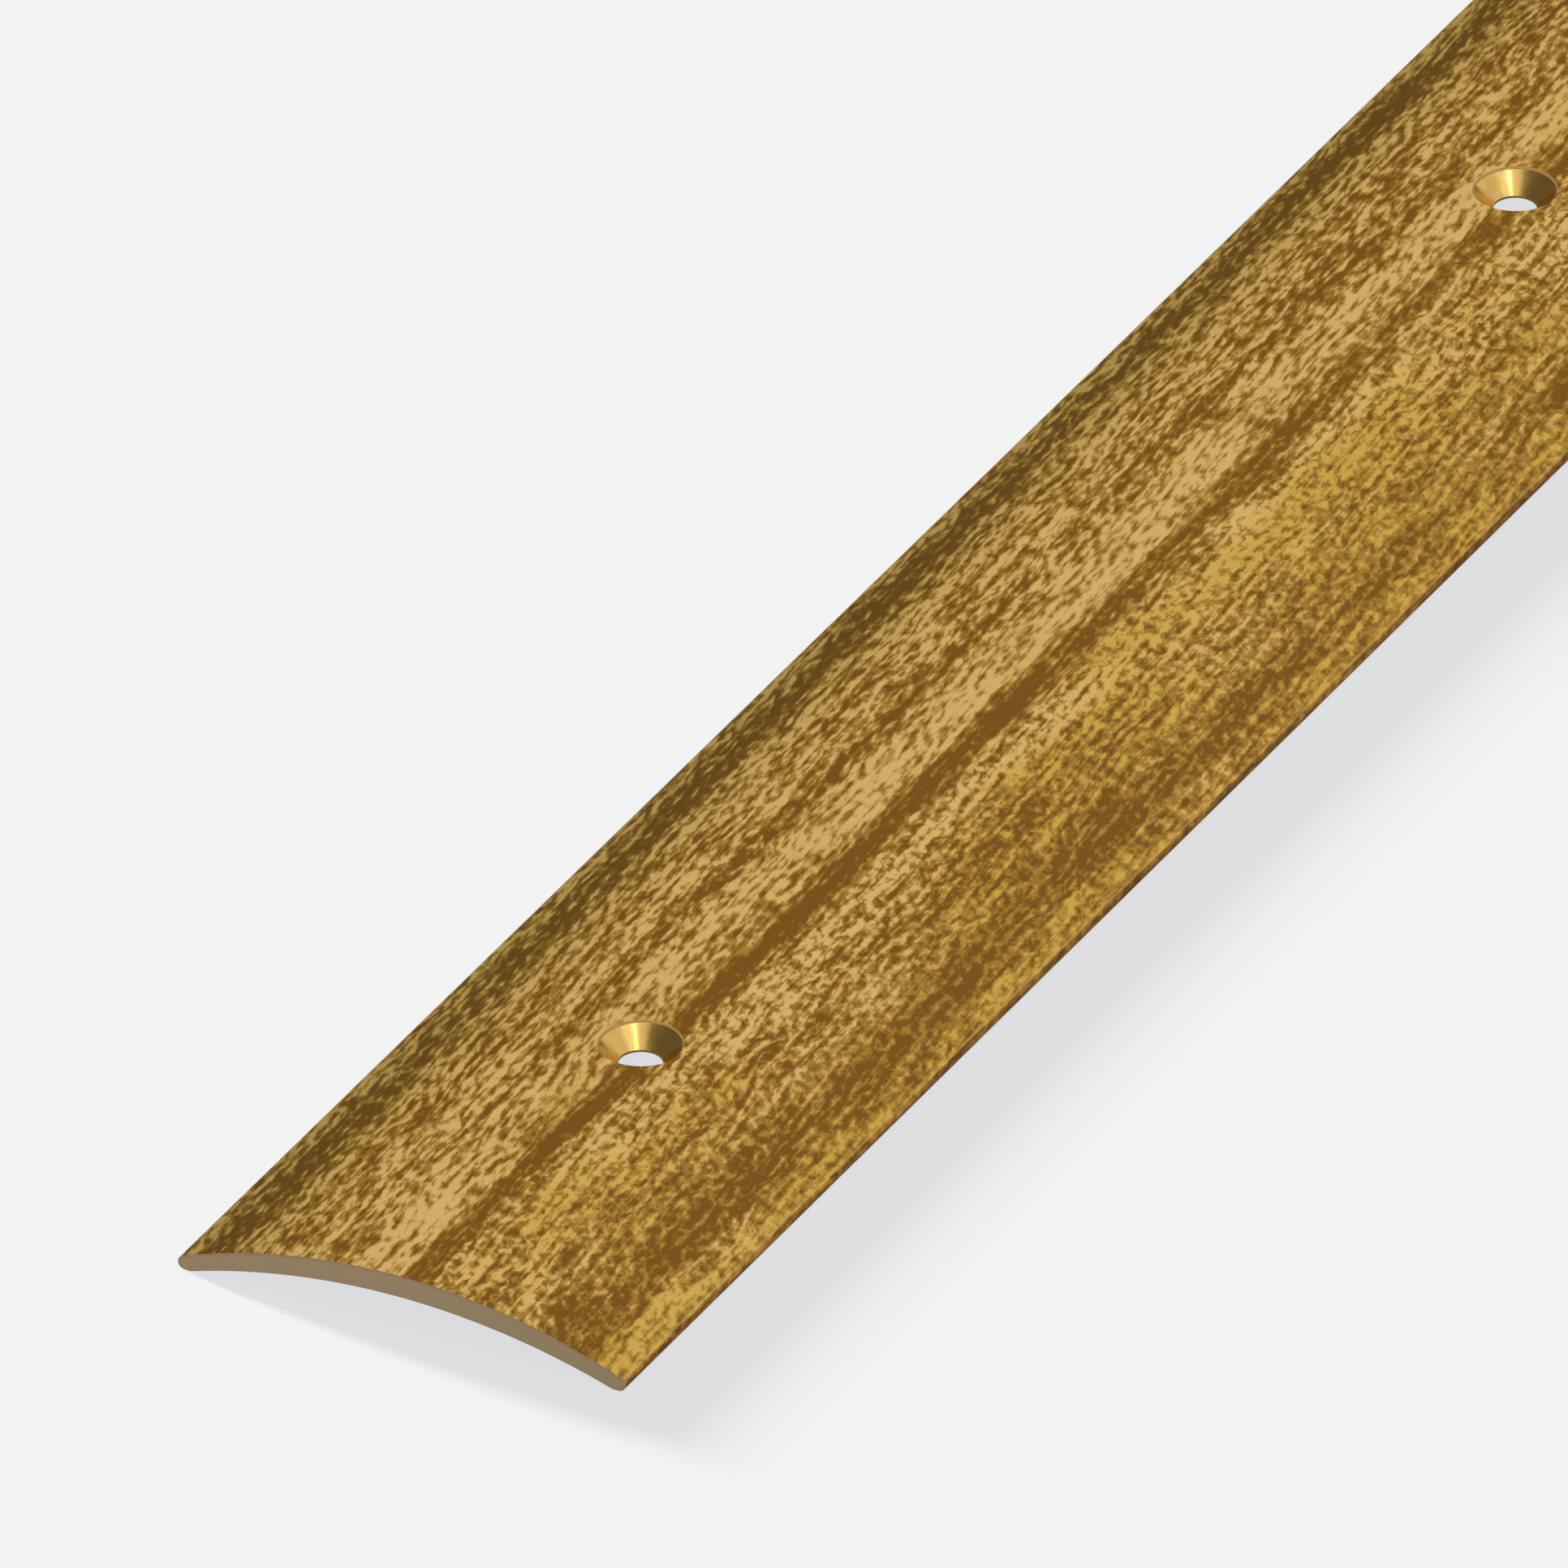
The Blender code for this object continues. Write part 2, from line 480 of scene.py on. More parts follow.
@dataclass(frozen=True)
class WoodPrint(Finish):
    """The decor foil's printed face: pale tan with brown streaks and short dark pore flecks, with
    painted shade on the left slope and round the noses and a painted highlight beside each fold.

    Attributes:
        pale, golden: The two light ground colours.
        middle, dark: The brown of a streak's edge and of its heart.
        shade: Painted shade: the tint that darkens the left slope.
        painted_nose_shade: Painted shade: the tint that darkens the foil where it turns round the
        noses.
        bands, patches: The streaks and places that set the print's plan; the last band is
        painted shade on the right nose.
        straight, curly, stroke: The flecks of the left side, of the right side and of both.
        drift: How whole groups of flecks stray.
        border: How the edge of the curly flecks' side strays.
        cloud, gilding, grit: Soft dark clouds, golden areas and the print's finest dots.
        ground: How dark the print is between its streaks.
        contrast: How strong the flecks are.
        browning: The darkness that gives the lightest wood, and that which gives the darkest.
        to_middle, to_dark: The stretches of brown over which the wood's colour changes.
        gilded: The golden areas' levels at which gold starts, and is full.
        gold_reach: How far to the right that level rises by 1, in millimetres.
        curled, faint, strong, shaded: Where the curly flecks, the right side's fainter flecks,
        the left side's stronger ones and the left slope's painted shade start, and where
        each is full, in millimetres from the crown.
        heavier, fainter, stronger: How much the strokes among the curly flecks and the flecks
            of the two sides differ from the rest.
        fold: Where the foil turns under, in millimetres from the crown, and where the painted
            nose shade starts.
        crease: How sharply that painted shade sets in.
        painted_highlight_line: Painted highlight: where a pale line runs beside the fold, how wide
            it is and
        how strong.
    """

    name: str = "wood_print"
    pale: Colour = from_screen(203, 167, 100)
    golden: Colour = from_screen(190, 153, 67)
    middle: Colour = from_screen(150, 114, 44)
    dark: Colour = from_screen(112, 76, 22)
    shade: Colour = from_screen(219, 220, 191)
    painted_nose_shade: Colour = from_screen(226, 209, 192)
    bands: tuple[GrainBand, ...] = BANDS
    patches: tuple[GrainPatch, ...] = PATCHES
    straight: Fleck = Fleck(Variation(0.6, 1.6, 12.0, 0.72, 2.5, 0.55), lean=0.13)
    curly: Fleck = Fleck(
        Variation(0.58, 1.15, 14.0, 0.72, 2.5, 0.55), lean=0.10,
        winding=Variation(0.9, 1.1, 14.5, 0.2, detail=1.0),
    )
    stroke: Fleck = Fleck(Variation(0.55, 6.5, 19.0, 0.50, 2.5, 0.55), lean=0.06)
    drift: Variation = Variation(9, 5, seed=11.0, strength=0.3, detail=1.0)
    border: Variation = Variation(14, 6, seed=15.0, strength=1.5)
    cloud: Variation = Variation(4, 22, seed=16.0, strength=0.16)
    gilding: Variation = Variation(9, 40, seed=17.0)
    grit: Variation = Variation(0.16, 0.3, seed=18.0, strength=0.05, detail=1.0)
    ground: float = 0.30
    contrast: float = 0.95
    browning: Span = (-0.35, 1.15)
    to_middle: Span = (0.05, 0.5)
    to_dark: Span = (0.42, 0.88)
    gilded: Span = (0.25, 1.25)
    gold_reach: float = 14.0
    curled: Span = (-1.0, 2.5)
    faint: Span = (6.0, 15.0)
    strong: Span = (0.0, -12.0)
    shaded: Span = (-8.0, -18.5)
    heavier: float = 0.24
    fainter: float = 0.22
    stronger: float = 0.15
    fold: float = 19.35
    crease: float = 0.07
    painted_highlight_line: tuple[float, float, float] = (19.24, 0.09, 0.3)

    def plan(self, graph: Graph, across: Socket, along: Socket) -> tuple[Socket, Socket]:
        """The print's large features, which don't hold its flecks.

        Args:
            graph: The graph to draw in.
            across, along: The point on the foil, in millimetres.

        Returns:
            How dark the print is there, and how golden.
        """
        field = self.cloud.draw(graph, across, along) + self.ground
        for band in self.bands:
            field = field + band.draw(graph, across, along)
        gold = self.gilding.draw(graph, across, along) + across / self.gold_reach
        for patch in self.patches:
            cover = patch.cover(across, along)
            field = field + cover * patch.depth
            if patch.gold:
                gold = gold + cover * patch.gold
        return field, gold.rising(*self.gilded)

    def flecks(self, graph: Graph, across: Socket, along: Socket) -> Socket:
        """The pore flecks: short ones, wrigglier on the right, and long strokes, all leaning.

        Args:
            graph: The graph to draw in.
            across, along: The point on the foil, in millimetres.

        Returns:
            Their strength there, around 0.
        """
        drifting = across + self.drift.draw(graph, along, across)
        straight = self.straight.draw(graph, drifting, along)
        curly = self.curly.draw(graph, drifting, along)
        strokes = self.stroke.draw(graph, drifting, along)
        right = (across + self.border.draw(graph, along, across)).rising(*self.curled)
        mixed = straight + (curly - straight) * right + strokes * (1.0 + right * self.heavier)
        fainter = across.rising(*self.faint) * self.fainter
        stronger = across.rising(*self.strong) * self.stronger
        return mixed * (1.0 + stronger - fainter)

    def draw(self, graph: Graph) -> None:
        """Fills the material's graph.

        Args:
            graph: The material's graph.
        """
        across, along = graph.unrolled()
        field, gold = self.plan(graph, across, along)
        darkness = field + self.flecks(graph, across, along) * self.contrast
        brown = darkness.rising(*self.browning)
        light = graph.mix(gold, self.pale, self.golden)
        half = graph.mix(brown.rising(*self.to_middle), light, self.middle)
        wood = graph.mix(brown.rising(*self.to_dark), half, self.dark)
        # painted shade: the left slope is tinted darker and greener towards its edge, for the
        # shade that falls there
        shade = graph.mix(1.0, wood, self.shade, Blend.TINT)
        shaded = graph.mix(across.rising(*self.shaded), wood, shade)
        grit = graph.grey(1.0 + self.grit.draw(graph, across, along))
        gritty = graph.mix(1.0, shaded, grit, Blend.TINT)
        # painted shade: past the fold the foil round each nose is tinted darker, for the shade on
        # its sideways face
        with_nose_shade = graph.mix(1.0, gritty, self.painted_nose_shade, Blend.TINT)
        reach = across.math("ABSOLUTE")
        under = reach.rising(self.fold - self.crease, self.fold + self.crease)
        printed = graph.mix(under, gritty, with_nose_shade)
        # painted highlight: a pale line just inside each fold, for light caught by the edge
        place, width, share = self.painted_highlight_line
        graph.surface(
            Base_Color=graph.mix(reach.hump(place, width) * share, printed, self.pale),
            Roughness=0.50 + brown * 0.10,
            Specular_IOR_Level=0.07,
            Normal=graph.bump(1.0 - brown, depth=0.00004, strength=0.35),
        )


@dataclass(frozen=True)
class FoilCore(Finish):
    """The foil's own material, seen at its ends, its long edges and on its back.

    Attributes:
        colour: Its lightest colour.
        shading: What is left of that where it is darkest.
        cloud: How it goes from the one to the other, drawn in plan.
    """

    name: str = "foil_core"
    colour: Colour = from_screen(151, 130, 98)
    shading: float = 0.86
    cloud: Variation = Variation(0.6, 0.6, seed=21.0, strength=0.5)

    def draw(self, graph: Graph) -> None:
        """Fills the material's graph.

        Args:
            graph: The material's graph.
        """
        x, y, _ = graph.place()
        deep = tuple(self.shading * part for part in self.colour)
        tone = graph.mix(self.cloud.draw(graph, x, y) + 0.5, self.colour, deep)
        graph.surface(Base_Color=tone, Roughness=0.55, Specular_IOR_Level=0.2)


@dataclass(frozen=True)
class FoilRim(FoilCore):
    """The foil cut through at a countersink, smeared with brown and gold by the drill."""

    name: str = "foil_rim"
    colour: Colour = from_screen(172, 134, 70)


@dataclass(frozen=True)
class GoldExtrusion(Finish):
    """Gold anodised aluminium as it leaves the die, with fine lines along the strip.

    Attributes:
        light, deep: Its two golds.
        lines, cloud: The die's fine lines and soft patches, drawn in plan.
    """

    name: str = "gold_extrusion"
    light: Colour = from_screen(196, 168, 112)
    deep: Colour = from_screen(170, 138, 82)
    lines: Variation = Variation(0.12, 160, seed=31.0, detail=3.0, roughness=0.6)
    cloud: Variation = Variation(8, 45, seed=32.0)

    def draw(self, graph: Graph) -> None:
        """Fills the material's graph.

        Args:
            graph: The material's graph.
        """
        x, y, _ = graph.place()
        lines = self.lines.draw(graph, x, y)
        cloud = self.cloud.draw(graph, x, y)
        tone = graph.mix(lines * 0.25 + cloud * 0.25 + 0.5, self.light, self.deep)
        graph.surface(
            Base_Color=tone,
            Metallic=1.0,
            Roughness=0.36 + lines * 0.05 + cloud * 0.04,
            Normal=graph.bump(lines, depth=0.000004, strength=0.5),
        )


@dataclass(frozen=True)
class TurnedGold(Finish):
    """The wall of a drilled and countersunk hole: bright gold metal with faint turning rings, and
    painted shade down the straight hole.

    Attributes:
        light, deep: The countersink's two golds.
        drilled: Painted shade: the straight hole's darker, duller brown, for the shade down inside
            it.
        shoulder: The height at which the one meets the other, in millimetres.
        rings: The turning marks, drawn by height.
        smear: Soft patches, drawn in plan.
    """

    name: str = "turned_gold"
    light: Colour = from_screen(234, 198, 120)
    deep: Colour = from_screen(212, 170, 88)
    drilled: Colour = from_screen(128, 98, 46)
    shoulder: float = 3.02
    rings: Variation = Variation(0.07, 1, seed=41.0)
    smear: Variation = Variation(0.7, 0.7, seed=42.0, detail=1.0)

    def draw(self, graph: Graph) -> None:
        """Fills the material's graph.

        Args:
            graph: The material's graph.
        """
        x, y, z = graph.place()
        rings = self.rings.draw(graph, z)
        smear = self.smear.draw(graph, x, y)
        turned = graph.mix(rings * 0.2 + smear * 0.3 + 0.5, self.light, self.deep)
        # painted shade: below the shoulder the straight hole is coloured a darker brown for the
        # shade down inside it, and made rougher
        inside = z.rising(self.shoulder + 0.03, self.shoulder - 0.03)
        graph.surface(
            Base_Color=graph.mix(inside, turned, self.drilled),
            Metallic=1.0,
            Roughness=0.24 + smear * 0.04 + inside * 0.15,
            Normal=graph.bump(rings, depth=0.000003, strength=0.4),
        )


@dataclass(frozen=True)
class SawnMetal(Finish):
    """The cut end of the extrusion: flat, dull taupe metal with fine saw lines.

    Attributes:
        light, deep: Its two tones.
        lines: The saw lines, drawn by height and across.
        slant: How far they rise for each millimetre across.
    """

    name: str = "sawn_metal"
    light: Colour = from_screen(155, 134, 101)
    deep: Colour = from_screen(146, 125, 94)
    lines: Variation = Variation(0.09, 6, seed=51.0, detail=3.0)
    slant: float = 0.12

    def draw(self, graph: Graph) -> None:
        """Fills the material's graph.

        Args:
            graph: The material's graph.
        """
        x, _, z = graph.place()
        lines = self.lines.draw(graph, z + x * self.slant, x)
        graph.surface(
            Base_Color=graph.mix(lines * 0.3 + 0.5, self.light, self.deep),
            Metallic=0.1,
            Roughness=0.55 + lines * 0.05,
            Specular_IOR_Level=0.3,
            Normal=graph.bump(lines, depth=0.000004, strength=0.4),
        )


@dataclass(frozen=True)
class PaleFloor(Finish):
    """A lit, matt floor panel: it glows, so that its shadows stay light.

    Attributes:
        glow: The light that it gives off.
        matt: The grey that catches the other lights.
    """

    name: str = "pale_floor"
    glow: Colour = (0.700, 0.708, 0.726)
    matt: float = 0.03

    def draw(self, graph: Graph) -> None:
        """Fills the material's graph.

        Args:
            graph: The material's graph.
        """
        graph.surface(
            Base_Color=(self.matt, self.matt, self.matt),
            Roughness=1.0,
            Specular_IOR_Level=0.0,
            Emission_Color=self.glow,
            Emission_Strength=1.0,
        )


# the strip


def clamped(share: float) -> float:
    """A share kept between 0 and 1."""
    return min(max(share, 0.0), 1.0)


def wrapped(angle: float) -> float:
    """An angle brought to between half a turn back and half a turn on."""
    return (angle + math.pi) % math.tau - math.pi


@dataclass(frozen=True)
class Section:
    """The strip's cross-section: a crown that runs into a round nose and a flat foot each side.

    Attributes:
        width, height: The whole strip's, foil included.
        crown_thickness: Foil and metal together, on the centre line.
        edge_radius: The nose's.
        foot_width: The flat that stands on the floor.
        foil: The foil's thickness.
        glue: What is left between foil and metal.
        wrap: How far below level the foil turns round the nose.
    """

    width: float
    height: float
    crown_thickness: float = 0.00185
    edge_radius: float = 0.0006
    foot_width: float = 0.0005
    foil: float = 0.00015
    glue: float = 0.00001
    wrap: float = math.radians(60)

    @property
    def nose(self) -> Vector:
        """The centre of the right nose's circle."""
        return Vector((self.width / 2 - self.edge_radius, 0, self.edge_radius))

    @property
    def crown_radius(self) -> float:
        """The radius of the crown, which runs smoothly into both noses."""
        rise = self.height - self.edge_radius
        return (self.nose.x**2 + rise**2 - self.edge_radius**2) / (2 * (rise - self.edge_radius))

    @property
    def crown_centre(self) -> Vector:
        """The centre of the crown's circle."""
        return UPWARD * (self.height - self.crown_radius)

    @property
    def crown_turn(self) -> float:
        """The angle from the top of the crown to the nose."""
        towards = self.nose - self.crown_centre
        return math.atan2(towards.x, towards.z)

    @property
    def nose_turn(self) -> float:
        """The angle from the end of the crown, round the nose, to the foil's cut edge."""
        return QUARTER - self.crown_turn + self.wrap

    @property
    def half_face(self) -> float:
        """The distance over the foil's face from the centre line to its cut edge."""
        return self.crown_turn * self.crown_radius + self.nose_turn * self.edge_radius

    def depth_below_face(self, point: Vector) -> float:
        """How deep a point lies below the foil's outer face.

        Args:
            point: A point of the cross-section.

        Returns:
            The depth, 0 on the face itself.
        """
        from_crown = Vector((point.x, 0, point.z)) - self.crown_centre
        if math.atan2(abs(from_crown.x), from_crown.z) <= self.crown_turn:
            return self.crown_radius - from_crown.length
        return self.edge_radius - (Vector((abs(point.x), 0, point.z)) - self.nose).length

    @property
    def heel(self) -> Vector:
        """The inner edge of the right foot."""
        return Vector((self.nose.x - self.foot_width, 0, 0))

    @property
    def arch_centre(self) -> Vector:
        """The centre of the underside's circle, through the top of the hollow and both heels."""
        rise = self.height - self.crown_thickness
        return UPWARD * (rise - (self.heel.x**2 + rise**2) / (2 * rise))

    @property
    def arch_turn(self) -> float:
        """The angle from a heel to the top of the hollow."""
        towards = self.heel - self.arch_centre
        return math.atan2(towards.x, towards.z)

    def across(self, point: Vector) -> float:
        """How far a point is from the centre line, measured over the crown and round the nose.

        Args:
            point: A point on the foil.

        Returns:
            The distance over the outer face, negative on the left.
        """
        side = math.copysign(1.0, point.x)
        from_crown = point - self.crown_centre
        turn = math.atan2(abs(point.x), from_crown.z)
        if turn <= self.crown_turn:
            return side * turn * self.crown_radius
        from_nose = Vector((abs(point.x), 0, point.z)) - self.nose
        turn_on = math.atan2(from_nose.x, from_nose.z) - self.crown_turn
        return side * (self.crown_turn * self.crown_radius + turn_on * self.edge_radius)


@dataclass(frozen=True)
class ScrewHoles:
    """The row of countersunk holes on the strip's centre line.

    Attributes:
        count: How many there are.
        margin: From each end of the strip to the first one's centre.
        radius: The straight hole's.
        mouth: The countersink's radius at the crown.
        slope: The countersink's angle from the hole's axis.
        facets: How many sides a hole is turned with.
        clearance: How far the cutter runs past the strip's faces.
    """

    count: int = 7
    margin: float = 0.038
    radius: float = 0.0017
    mouth: float = 0.00338
    slope: float = math.radians(45)
    facets: int = 96
    clearance: float = 0.0008

    @property
    def half_facet(self) -> float:
        """Half the angle that one facet takes of a hole."""
        return math.pi / self.facets

    def places(self, length: float) -> list[float]:
        """Each hole's place along a strip of a given length."""
        reach = length / 2 - self.margin
        return [reach * (2 * index / (self.count - 1) - 1) for index in range(self.count)]

    def cutter(self, length: float, height: float) -> bpy.types.Object:
        """The shape that all the holes take away.

        Args:
            length, height: The strip's.

        Returns:
            A scratch object, whose faces carry the bores' slot.
        """
        body = bmesh.new()
        for y in self.places(length):
            self._turn_one(body, y, height)
        for face in body.faces:
            face.material_index = Slot.BORE
            face.smooth = True
        return as_object("hole_cutter", body)

    def _turn_one(self, body: bmesh.types.BMesh, y: float, height: float) -> None:
        """Turns one hole's profile about its axis, half a facet off the strip's centre line.

        Args:
            body: The mesh to add it to.
            y: The hole's place along the strip.
            height: The strip's height.
        """
        spread = math.tan(self.slope)
        widest = self.mouth + self.clearance * spread
        bottom = height - (self.mouth - self.radius) / spread
        outward = Vector((math.cos(self.half_facet), math.sin(self.half_facet), 0))
        pen = Pen(body, Vector((0, y, height + self.clearance)))
        pen.line(outward * widest)
        pen.line((outward * spread + UPWARD) * ((self.radius - widest) / spread))
        pen.line(-UPWARD * (bottom + self.clearance))
        pen.line(-outward * self.radius)
        bmesh.ops.spin(
            body, geom=pen.drawn, cent=(0, y, 0), axis=UPWARD, angle=math.tau,
            steps=self.facets, use_merge=True, use_duplicate=False,
        )
        bmesh.ops.remove_doubles(body, verts=body.verts, dist=WELD)
        bmesh.ops.recalc_face_normals(body, faces=body.faces)


class Pen:
    """Draws a chain of edges by carrying one vertex along."""

    def __init__(self, body: bmesh.types.BMesh, start: Vector) -> None:
        """Puts the pen down.

        Args:
            body: The mesh to draw in.
            start: Where the chain starts.
        """
        self.body = body
        self.tip = body.verts.new(start)
        self.drawn: list[bmesh.types.BMVert | bmesh.types.BMEdge] = [self.tip]

    def line(self, step: Vector) -> None:
        """Draws straight on.

        Args:
            step: From the pen's tip to the line's end.
        """
        made = bmesh.ops.extrude_vert_indiv(self.body, verts=[self.tip])
        self.tip = made["verts"][0]
        bmesh.ops.translate(self.body, vec=step, verts=[self.tip])
        self.drawn += [*made["edges"], self.tip]

    def arc(self, centre: Vector, turn: float, steps: int) -> None:
        """Draws on round a centre in the cross-section.

        Args:
            centre: The arc's centre.
            turn: Its angle, positive from the top towards the right.
            steps: How many edges it takes.
        """
        made = bmesh.ops.spin(
            self.body, geom=[self.tip], cent=centre, axis=ALONG, angle=turn,
            steps=steps, use_duplicate=False,
        )
        self.tip = made["geom_last"][0]


def as_object(name: str, body: bmesh.types.BMesh) -> bpy.types.Object:
    """Turns a bmesh into an object in the scene, and frees the bmesh.

    Args:
        name: The object's name.
        body: Its mesh.

    Returns:
        The object, at the origin.
    """
    mesh = bpy.data.meshes.new(name)
    body.to_mesh(mesh)
    body.free()
    made = bpy.data.objects.new(name, mesh)
    bpy.context.scene.collection.objects.link(made)
    return made


def drilled(solid: bpy.types.Object, cutter: bpy.types.Object) -> None:
    """Cuts one object's shape out of another and keeps the cleaned result as its mesh.

    Args:
        solid: The object to cut.
        cutter: The shape to take away.
    """
    cut = solid.modifiers.new("screw_holes", "BOOLEAN")
    cut.operation = "DIFFERENCE"
    cut.solver = "EXACT"
    cut.object = cutter
    graph = bpy.context.evaluated_depsgraph_get()
    mesh = bpy.data.meshes.new_from_object(solid.evaluated_get(graph))
    solid.modifiers.clear()
    body = bmesh.new()
    body.from_mesh(mesh)
    bmesh.ops.remove_doubles(body, verts=body.verts, dist=SLIVER)
    bmesh.ops.dissolve_degenerate(body, edges=body.edges, dist=SLIVER)
    body.to_mesh(mesh)
    body.free()
    solid.data = mesh


@dataclass
class Layer:
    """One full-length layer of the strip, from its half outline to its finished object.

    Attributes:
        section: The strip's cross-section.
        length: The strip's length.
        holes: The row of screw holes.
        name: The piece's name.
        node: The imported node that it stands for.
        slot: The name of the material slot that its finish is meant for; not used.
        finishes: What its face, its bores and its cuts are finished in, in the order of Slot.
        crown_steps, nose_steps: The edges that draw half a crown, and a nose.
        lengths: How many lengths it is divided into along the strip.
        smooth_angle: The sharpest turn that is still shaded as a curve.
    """

    section: Section
    length: float
    holes: ScrewHoles
    name: str = "layer"
    node: str = ""
    slot: str = ""
    finishes: tuple[Finish, ...] = ()
    crown_steps: int = 28
    nose_steps: int = 14
    lengths: int = 5
    smooth_angle: float = math.radians(28)

    def start(self) -> Vector:
        """Where the outline starts, on the centre line."""
        raise NotImplementedError

    def outline(self, pen: Pen) -> None:
        """Draws the right half of the outline, from the centre line back to it."""
        raise NotImplementedError

    def slot_of(self, face: bmesh.types.BMFace) -> Slot:
        """The slot of one of the undrilled layer's faces."""
        raise NotImplementedError

    def lay_maps(self, mesh: bpy.types.Mesh) -> None:
        """Adds the layer's own UV maps, where it has any."""

    def solid(self) -> bpy.types.Object:
        """Draws the half outline, runs it along the strip, mirrors it and closes both ends.

        Returns:
            The undrilled layer.
        """
        body = bmesh.new()
        self.outline(Pen(body, self.start() - ALONG * self.length / 2))
        bmesh.ops.spin(
            body, geom=[*body.verts, *body.edges], cent=(0, 0, 0), axis=ALONG, angle=0.0,
            dvec=ALONG * self.length / self.lengths, steps=self.lengths, use_duplicate=False,
        )
        halves = [*body.verts, *body.edges, *body.faces]
        bmesh.ops.mirror(body, geom=halves, axis="X", merge_dist=WELD)
        bmesh.ops.remove_doubles(body, verts=body.verts, dist=WELD)
        rims = [edge for edge in body.edges if edge.is_boundary]
        bmesh.ops.edgeloop_fill(body, edges=rims)
        bmesh.ops.recalc_face_normals(body, faces=body.faces)
        for face in body.faces:
            face.material_index = self.slot_of(face)
            face.smooth = True
        return as_object(self.name, body)

    def dress(self, made: bpy.types.Object) -> None:
        """Gives the undrilled layer its finishes, so that each hole keeps the bores' slot."""
        for finish in self.finishes:
            made.data.materials.append(finish.material())

    def build(self, cutter: bpy.types.Object) -> None:
        """Builds, dresses and drills the layer, hangs it on the body and hides the imported part.

        Args:
            cutter: The screw holes' shape.
        """
        made = self.solid()
        self.dress(made)
        drilled(made, cutter)
        self.lay_maps(made.data)
        made.data.set_sharp_from_angle(angle=self.smooth_angle)
        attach(made, BODY)
        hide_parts(self.node)
        LOG.info("%s: %d faces", self.name, len(made.data.polygons))


@dataclass
class MetalProfile(Layer):
    """The extruded aluminium: set in under the foil, full size at its feet, hollow beneath.

    Attributes:
        foot_steps: The edges that draw a foot's round side.
    """

    name: str = "gold_aluminium_profile"
    node: str = "aluminium_profile"
    slot: str = "gold_anodised_aluminium"
    finishes: tuple[Finish, ...] = (GoldExtrusion(), TurnedGold(), SawnMetal())
    foot_steps: int = 4

    @property
    def inset(self) -> float:
        """How far the metal lies below the foil's face."""
        return self.section.foil + self.section.glue

    def start(self) -> Vector:
        """Where the outline starts, on the centre line."""
        return UPWARD * (self.section.height - self.inset)

    def outline(self, pen: Pen) -> None:
        """Draws the right half of the metal's outline.

        Args:
            pen: The pen, at the outline's start.
        """
        section = self.section
        shoulder = section.wrap + section.glue / (section.edge_radius - section.foil)
        pen.arc(section.crown_centre, section.crown_turn, self.crown_steps)
        pen.arc(section.nose, QUARTER - section.crown_turn + shoulder, self.nose_steps)
        outward = (pen.tip.co - section.nose) * IN_SECTION
        pen.line(outward.normalized() * self.inset)
        pen.arc(section.nose, QUARTER - shoulder, self.foot_steps)
        pen.line(-ACROSS * section.foot_width)
        pen.arc(section.arch_centre, -section.arch_turn, self.crown_steps)

    def slot_of(self, face: bmesh.types.BMFace) -> Slot:
        """The sawn ends are cuts, and all the rest is as extruded."""
        return Slot.CUT if abs(face.normal.y) > HALF else Slot.FACE


@dataclass(frozen=True)
class Cell:
    """A row on the sheet that a layer is laid out on. Its sizes are shares of the sheet.

    Attributes:
        low, high: Its lower and upper edges.
        border: What stays free at its two sides.
    """

    low: float
    high: float
    border: float = 0.006

    def at(self, sideways: float, upwards: float) -> tuple[float, float]:
        """The point at a share of the cell's width and height."""
        inside = 1 - 2 * self.border
        return self.border + sideways * inside, self.low + upwards * (self.high - self.low)


